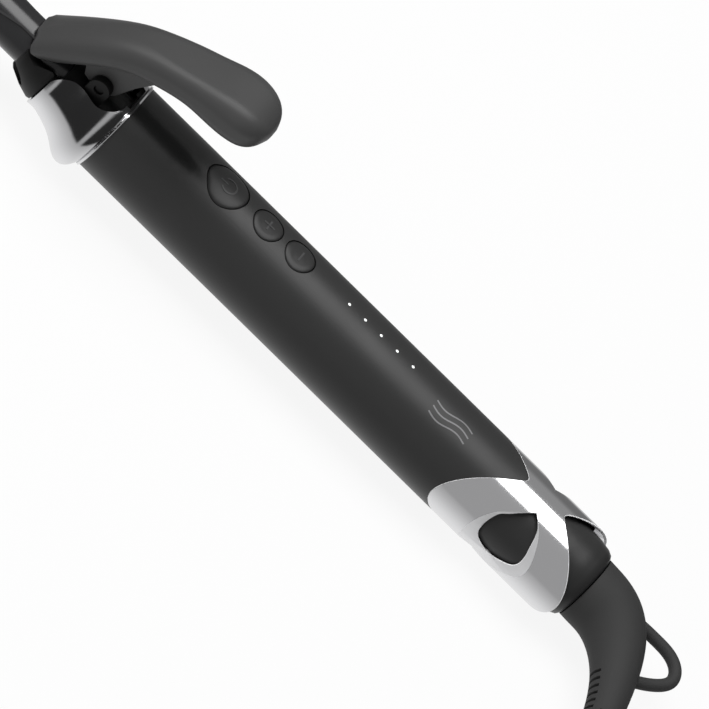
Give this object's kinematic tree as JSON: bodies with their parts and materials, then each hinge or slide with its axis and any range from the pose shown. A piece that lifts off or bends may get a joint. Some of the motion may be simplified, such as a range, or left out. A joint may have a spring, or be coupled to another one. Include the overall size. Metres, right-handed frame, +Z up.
{
  "type": "curling iron",
  "caption": "Slim corded curling iron with a heated barrel, sprung clamp and thumb lever, round handle with buttons and lamps, bright collar and sleeve, and a swivelling elbow cord boot.",
  "frame": {"origin": "centre of the flat foot under the collar, on the table's surface", "axes": "+X from the barrel's tip towards the cord end, +Y across, +Z up out of the table on the side of the lever and buttons"},
  "size_m": [0.3756, 0.0719, 0.0618],
  "materials": {
    "black_coating": "ceramic coating",
    "dark_steel": "blackened",
    "heat_plastic": "matte",
    "heater_ceramic": "matte",
    "bare_aluminium": "machined",
    "lead_insulation": "matte",
    "screw_steel": "plain",
    "bright_chrome": "polished",
    "satin_black": "satin",
    "spring_steel": "plain",
    "soft_touch_black": "soft touch",
    "inner_plastic": "matte",
    "circuit_board": "solder mask",
    "switch_black": "matte",
    "lamp_white": "clear moulding",
    "capacitor_film": "moulded",
    "contact_brass": "plain",
    "boot_rubber": "matte"
  },
  "bodies": {
    "handle": {"barrel_tube": "black_coating", "cool_tip": "heat_plastic", "heater_plate": "heater_ceramic", "heat_spreader_upper": "bare_aluminium", "heat_spreader_lower": "bare_aluminium", "heater_leads": "lead_insulation", "temperature_sensor": "lead_insulation", "barrel_socket": "heat_plastic", "socket_screws": "screw_steel", "collar": "bright_chrome", "hinge_pin": "dark_steel", "torsion_spring": "spring_steel", "handle_tube": "soft_touch_black", "chassis": "inner_plastic", "control_board": "circuit_board", "switches": "switch_black", "lamps": "lamp_white", "light_guide": "lamp_white", "capacitor": "capacitor_film", "triac": "switch_black", "controller_chip": "switch_black", "terminal_block": "inner_plastic", "supply_leads": "lead_insulation", "end_sleeve": "bright_chrome", "end_housing": "satin_black", "brush_carrier": "inner_plastic", "brush_contacts": "contact_brass"},
    "clamp": {"clamp": "black_coating", "lever": "satin_black", "clamp_rivets": "screw_steel"},
    "power_button": {"power_button": "satin_black"},
    "plus_button": {"plus_button": "satin_black"},
    "minus_button": {"minus_button": "satin_black"},
    "swivel": {"swivel_hub": "inner_plastic", "slip_rings": "contact_brass", "cord_boot": "boot_rubber"}
  },
  "joints": [
    {"name": "clamp_hinge", "type": "hinge", "parent": "handle", "child": "clamp", "pos_m": [-0.00562, 0, 0.02992], "axis": [0, 1, 0], "range_deg": [0, 22], "stiffness_Nm_per_rad": 0.25, "springref_deg": -28.65, "deforming": ["torsion_spring"]},
    {"name": "power_button_press", "type": "slide", "parent": "handle", "child": "power_button", "axis": [-0.0196, 0, -0.9998], "range_m": [0, 0.0005], "stiffness_N_per_m": 400, "springref_m": -0.0006},
    {"name": "plus_button_press", "type": "slide", "parent": "handle", "child": "plus_button", "axis": [-0.0196, 0, -0.9998], "range_m": [0, 0.0005], "stiffness_N_per_m": 400, "springref_m": -0.0006},
    {"name": "minus_button_press", "type": "slide", "parent": "handle", "child": "minus_button", "axis": [-0.0196, 0, -0.9998], "range_m": [0, 0.0005], "stiffness_N_per_m": 400, "springref_m": -0.0006},
    {"name": "cord_swivel", "type": "hinge", "parent": "handle", "child": "swivel", "pos_m": [0.1751, 0, 0.01377], "axis": [0.9998, 0, -0.0196], "continuous": true}
  ]
}
